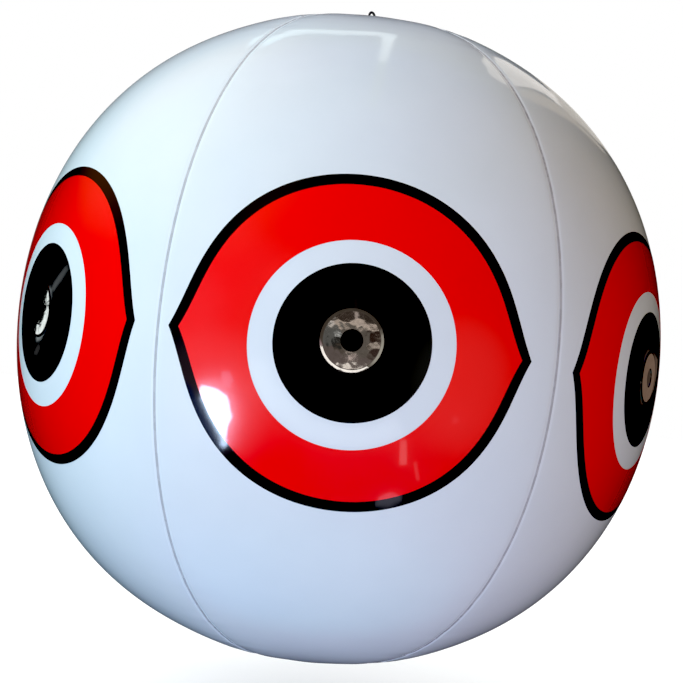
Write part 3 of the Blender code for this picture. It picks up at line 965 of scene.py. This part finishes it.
def make_welds(bead_material):
    """The six welds of the seams, and the ring weld of each disc."""
    tree = weld_tree(bead_material)
    latitude = np.linspace(-tip_latitude, tip_latitude, bead_steps + 1)
    seams = [film_points(gore_half_angle, latitude, 0, gore) for gore in range(gore_count)]
    mark_size = (mark_width, mark_length, 2 * mark_height)
    sizes = weld_sizes(
        -weld_root, weld_crest, weld_width, weld_crest_width, mark_pitch, mark_size
    )
    mesh = grown_mesh("seam_welds", seams, tree, sizes)
    make_piece(mesh.name, mesh, bead_material, "ball", [])
    turn = np.linspace(0, full_turn, disc_steps + 1)
    rings = []
    for side in (1, -1):
        for reach in (press_reach - ring_bead_shift, press_reach + ring_bead_shift):
            radius, height = pole_points(side, reach, cap_height - press_depth)
            rings.append(level_ring(turn, radius, height))
    mark_size = (ring_mark_size, ring_mark_size, 2 * ring_mark_height)
    sizes = weld_sizes(
        0, ring_bead_height, ring_bead_width, ring_bead_crest_width, ring_mark_pitch, mark_size
    )
    mesh = grown_mesh("disc_welds", rings, tree, sizes)
    make_piece(mesh.name, mesh, bead_material, "ball", [])


def make_tab(vinyl):
    """A round welded foot and an upright ear with a hole that the ring goes through."""
    low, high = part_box("hanging_tab")
    foot_radius = high.x
    foot_top = low.z + tab_foot_thickness
    sunk_bed = pole_points(1, (0, foot_radius), cap_height)
    foot = turned_mesh(
        "foot",
        (sunk_bed[0], sunk_bed[1], (foot_radius, foot_top - tab_foot_dome), (0, foot_top)),
        disc_steps,
        closed=False,
        edge=tab_edge_round,
    )
    turn = round_angles(ear_steps)
    hole_height = high.z - tab_ear_radius
    root_depth = hole_height - foot_top + tab_foot_thickness / 2
    down = np.maximum(-np.sin(turn), 0)
    straight = np.minimum(
        tab_ear_radius / np.maximum(np.abs(np.cos(turn)), math.cos(ear_flare)),
        root_depth / np.maximum(down, math.sin(ear_root_angle)),
    )
    rim = np.where(down > 0, np.maximum(straight, tab_hole_radius + tab_edge_round), tab_ear_radius)
    half = tab_ear_thickness / 2
    soft = tab_edge_round
    section = (
        (tab_hole_radius + soft, None, -half),
        (None, -soft, -half),
        (None, 0, -half + soft),
        (None, 0, half - soft),
        (None, -soft, half),
        (tab_hole_radius + soft, None, half),
        (tab_hole_radius, None, half - soft),
        (tab_hole_radius, None, -half + soft),
    )
    rings = []
    for fixed, inset, side in section:
        reach = np.full(ear_steps, fixed) if inset is None else rim + inset
        rings.append(
            (reach * np.cos(turn))[:, None] * ring_across
            + (hole_height + reach * np.sin(turn))[:, None] * upward
            + side * ring_along
        )
    ear = skin_mesh("ear", rings, round_trip=True)
    shape = bmesh.new()
    shape.from_mesh(foot)
    shape.from_mesh(ear)
    mesh = bpy.data.meshes.new("welded_hanging_tab")
    shape.to_mesh(mesh)
    shape.free()
    make_piece(mesh.name, mesh, vinyl, "ball", ["hanging_tab"])


def make_ring(plastic):
    """A round moulded ring standing on edge, with the fine flash of its mould line."""
    low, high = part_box("hanging_ring")
    turn = round_angles(ring_steps)
    section = round_angles(ring_wire_steps)
    flash = ring_flash * np.exp(-((np.sin(section) / flash_width_share) ** 2))
    wire = ring_wire_radius - ring_flash + flash
    reach = ring_radius + wire * np.cos(section)
    side = wire * np.sin(section)
    centre = upward * (low.z + high.z) / 2
    rings = [
        centre
        + distance * np.cos(turn)[:, None] * ring_along
        + distance * np.sin(turn)[:, None] * upward
        + offset * ring_across
        for distance, offset in zip(reach, side)
    ]
    mesh = skin_mesh("moulded_hanging_ring", rings, round_trip=True)
    make_piece(mesh.name, mesh, plastic, "ring", ["hanging_ring"])


def make_stem(soft_vinyl):
    """A round tube with a lip outside and a bead inside the ball."""
    low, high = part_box("valve_stem")
    lip_radius = high.x
    stem_radius = stem_bore_radius + stem_wall
    bead_radius = stem_radius + stem_bead_rise
    outline = (
        (stem_bore_radius, low.z),
        (lip_radius, low.z),
        (lip_radius, low.z + stem_lip_thickness),
        (stem_radius, low.z + stem_lip_thickness),
        (stem_radius, high.z - stem_bead_length),
        (bead_radius, high.z - stem_bead_length),
        (bead_radius, high.z),
        (stem_bore_radius, high.z),
    )
    mesh = turned_mesh("moulded_valve_stem", outline, valve_steps, closed=True, edge=edge_round)
    make_piece(mesh.name, mesh, soft_vinyl, "stem", ["valve_stem"])


def make_plug(soft_vinyl):
    """A dished head and a round-nosed shank that fills the bore."""
    low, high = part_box("valve_plug")
    head_radius = high.x
    shank = stem_bore_radius - plug_clearance
    head_top = low.z + plug_head_thickness
    dish_radius = head_radius - plug_rim_width
    outline = (
        (0, low.z + plug_dish_depth),
        (dish_radius, low.z + plug_dish_depth),
        (dish_radius, low.z),
        (head_radius, low.z),
        (head_radius, head_top),
        (shank, head_top),
        (shank, high.z - plug_tip_round),
        (shank - plug_tip_round, high.z),
        (0, high.z),
    )
    mesh = turned_mesh("moulded_valve_plug", outline, valve_steps, closed=False, edge=edge_round)
    make_piece(mesh.name, mesh, soft_vinyl, "plug", ["valve_plug"])


def make_strap(soft_vinyl):
    """The strip that keeps the plug on the stem; it stretches when the plug is pulled out."""
    stem_low, stem_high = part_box("valve_stem")
    plug_low, plug_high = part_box("valve_plug")
    upper = stem_low.z + strap_thickness / 2 + strap_rise
    lower = plug_low.z + plug_head_thickness / 2
    bend = (upper - lower) / 2
    turn_at = stem_high.x + strap_reach
    route = [(stem_high.x - strap_sink, upper, 0, 1)]
    for turn in np.linspace(quarter_turn, -quarter_turn, strap_bend_steps + 1):
        out_x, out_z = math.cos(turn), math.sin(turn)
        route.append((turn_at + bend * out_x, (upper + lower) / 2 + bend * out_z, out_x, out_z))
    route.append((plug_high.x - strap_sink, lower, 0, -1))
    around = round_angles(strap_sides)
    squareness = 1 / np.maximum(np.abs(np.cos(around)), np.abs(np.sin(around))) ** strap_square
    across = strap_width / 2 * np.cos(around) * squareness
    thick = strap_thickness / 2 * np.sin(around) * squareness
    rings = [
        np.stack((x + thick * out_x, across, z + thick * out_z), axis=-1)
        for x, z, out_x, out_z in route
    ]
    opening, closing = (
        np.tile((x, 0, z), (strap_sides, 1)) for x, z in (route[0][:2], route[-1][:2])
    )
    mesh = skin_mesh("moulded_plug_strap", [opening, *rings, closing])
    strap = make_piece(mesh.name, mesh, soft_vinyl, None, ["plug_strap"])
    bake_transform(strap)


def finish_hidden_pieces(soft_vinyl):
    """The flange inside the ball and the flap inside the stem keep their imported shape."""
    for name in ("valve_flange", "valve_flap"):
        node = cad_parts[name]
        for slot in node.material_slots:
            slot.material = soft_vinyl


def make_camera():
    """The camera in front of the ball, which leans and turns a little towards it."""
    data = bpy.data.cameras.new("camera")
    data.lens = lens_millimetres
    data.sensor_width = sensor_millimetres
    camera = put_in_scene("camera", data)
    turn = (
        Matrix.Rotation(ball_roll, 4, "Y")
        @ Matrix.Rotation(ball_tilt, 4, "X")
        @ Matrix.Rotation(ball_spin, 4, "Z")
    )
    place = Matrix.Translation((camera_right, -camera_distance, camera_up))
    camera.matrix_world = (
        Matrix.Translation(ball_centre)
        @ turn.transposed()
        @ place
        @ Matrix.Rotation(quarter_turn, 4, "X")
    )
    bpy.context.scene.camera = camera


def heading(azimuth, elevation):
    """The direction from the ball; azimuth 0 is -Y and 90 is +X, in degrees."""
    turn, rise = math.radians(azimuth), math.radians(elevation)
    level = math.cos(rise)
    return Vector((math.sin(turn) * level, -math.cos(turn) * level, math.sin(rise)))


def add_sun(name, azimuth, elevation, strength, colour, spread=sun_spread):
    """Broad soft light that shows in no reflection."""
    data = bpy.data.lights.new(name, "SUN")
    data.energy = strength
    data.color = colour
    data.angle = math.radians(spread)
    sun = put_in_scene(name, data)
    sun.rotation_euler = heading(azimuth, elevation).to_track_quat("Z", "Y").to_euler()
    hide_from(sun, "camera", "glossy")
    return sun


def add_panel(name, colour, corners, distance):
    """A bright flat thing in the room that shows in reflections alone."""
    material = bpy.data.materials.new(name)
    material.use_nodes = True
    tree = material.node_tree
    tree.nodes.clear()
    glow = add_node(tree, "ShaderNodeEmission", {"Color": (*colour, 1)})
    add_node(tree, "ShaderNodeOutputMaterial", {"Surface": glow})
    centre = Vector(ball_centre)
    points = [centre + heading(*corner) * distance for corner in corners]
    mesh = bpy.data.meshes.new(name)
    mesh.from_pydata(points, [], [range(len(points))])
    mesh.materials.append(material)
    panel = put_in_scene(name, mesh)
    hide_from(panel, "camera", "diffuse", "transmission", "shadow")


def make_world():
    """White behind the ball, and the dim room with its soft bright patches in the gloss."""
    world = bpy.data.worlds.new("studio")
    world.use_nodes = True
    tree = world.node_tree
    tree.nodes.clear()
    path = add_node(tree, "ShaderNodeLightPath").outputs
    way = add_node(tree, "ShaderNodeTexCoord").outputs["Generated"]
    room = None
    for azimuth, elevation, core, edge, colour in glows:
        facing = add_node(
            tree,
            "ShaderNodeVectorMath",
            {0: way, 1: heading(azimuth, elevation)},
            operation="DOT_PRODUCT",
        ).outputs["Value"]
        bright = add_node(
            tree,
            "ShaderNodeMapRange",
            {
                "Value": facing,
                "From Min": math.cos(math.radians(edge)),
                "From Max": math.cos(math.radians(core)),
            },
            interpolation_type="SMOOTHSTEP",
        )
        patch = add_node(tree, "ShaderNodeBackground", {"Color": (*colour, 1), "Strength": bright})
        room = add_node(tree, "ShaderNodeAddShader", {0: room, 1: patch}) if room else patch
    dark = add_node(tree, "ShaderNodeBackground", {"Color": (0, 0, 0, 1)})
    seen = add_node(tree, "ShaderNodeMixShader", {0: path["Is Glossy Ray"], 1: dark, 2: room})
    backdrop = add_node(tree, "ShaderNodeBackground", {"Color": (1, 1, 1, 1)})
    both = add_node(tree, "ShaderNodeMixShader", {0: path["Is Camera Ray"], 1: seen, 2: backdrop})
    add_node(tree, "ShaderNodeOutputWorld", {"Surface": both})
    bpy.context.scene.world = world


def make_floor():
    """A plain pale floor that takes the ball's soft shadow and sends no light back."""
    material = bpy.data.materials.new("pale_floor")
    material.use_nodes = True
    shader = material.node_tree.nodes["Principled BSDF"]
    shader.inputs["Base Color"].default_value = linear("A0A0A0")
    shader.inputs["Roughness"].default_value = 1
    shader.inputs["Emission Color"].default_value = (1, 1, 1, 1)
    shader.inputs["Emission Strength"].default_value = floor_glow
    height = cad_low.z - floor_drop
    corners = [
        (x * floor_half_width, y * floor_half_width, height)
        for x, y in ((-1, -1), (1, -1), (1, 1), (-1, 1))
    ]
    mesh = bpy.data.meshes.new("floor")
    mesh.from_pydata(corners, [], [(0, 1, 2, 3)])
    mesh.materials.append(material)
    floor = put_in_scene("floor", mesh)
    hide_from(floor, "diffuse", "glossy", "transmission", "shadow")
    only_floor = bpy.data.collections.new("lit_by_ceiling")
    only_floor.objects.link(floor)
    return only_floor


def make_lights(only_floor):
    """Broad daylight from the front left, fading to a warm dim room on the right."""
    for name, azimuth, elevation, colour in soft_lights:
        add_sun(name, azimuth, elevation, math.pi, colour)
    for behind, (name, colour, corners) in enumerate(reversed(panels)):
        add_panel(name, colour, corners, panel_distance + behind * panel_step)
    ceiling = add_sun("ceiling", 0, 90, ceiling_strength, (1, 1, 1), ceiling_spread)
    ceiling.light_linking.receiver_collection = only_floor


scene = bpy.context.scene
scene.view_settings.view_transform = "Standard"
scene.view_settings.use_curve_mapping = True
scene.view_settings.curve_mapping.black_level = (black_level, black_level, black_level)
make_camera()
make_world()
make_lights(make_floor())

vinyl = blown_pvc_film()
black_ink = screen_printed_ink("screen_printed_black_ink", "020203", "060608", 0.05)
red_ink = screen_printed_ink(
    "screen_printed_red_ink", "F80101", "FE0404", 0.14, coat=0.85, specular=0.42
)
foil = crinkled_mirror_foil()
make_gores(vinyl)
make_eyes(black_ink, red_ink, foil)
make_caps(vinyl)
make_welds(welded_bead_with_crease_shade())
make_tab(vinyl)
make_ring(moulded_black_plastic())
soft_vinyl = moulded_soft_vinyl()
make_stem(soft_vinyl)
make_plug(soft_vinyl)
make_strap(soft_vinyl)
finish_hidden_pieces(soft_vinyl)
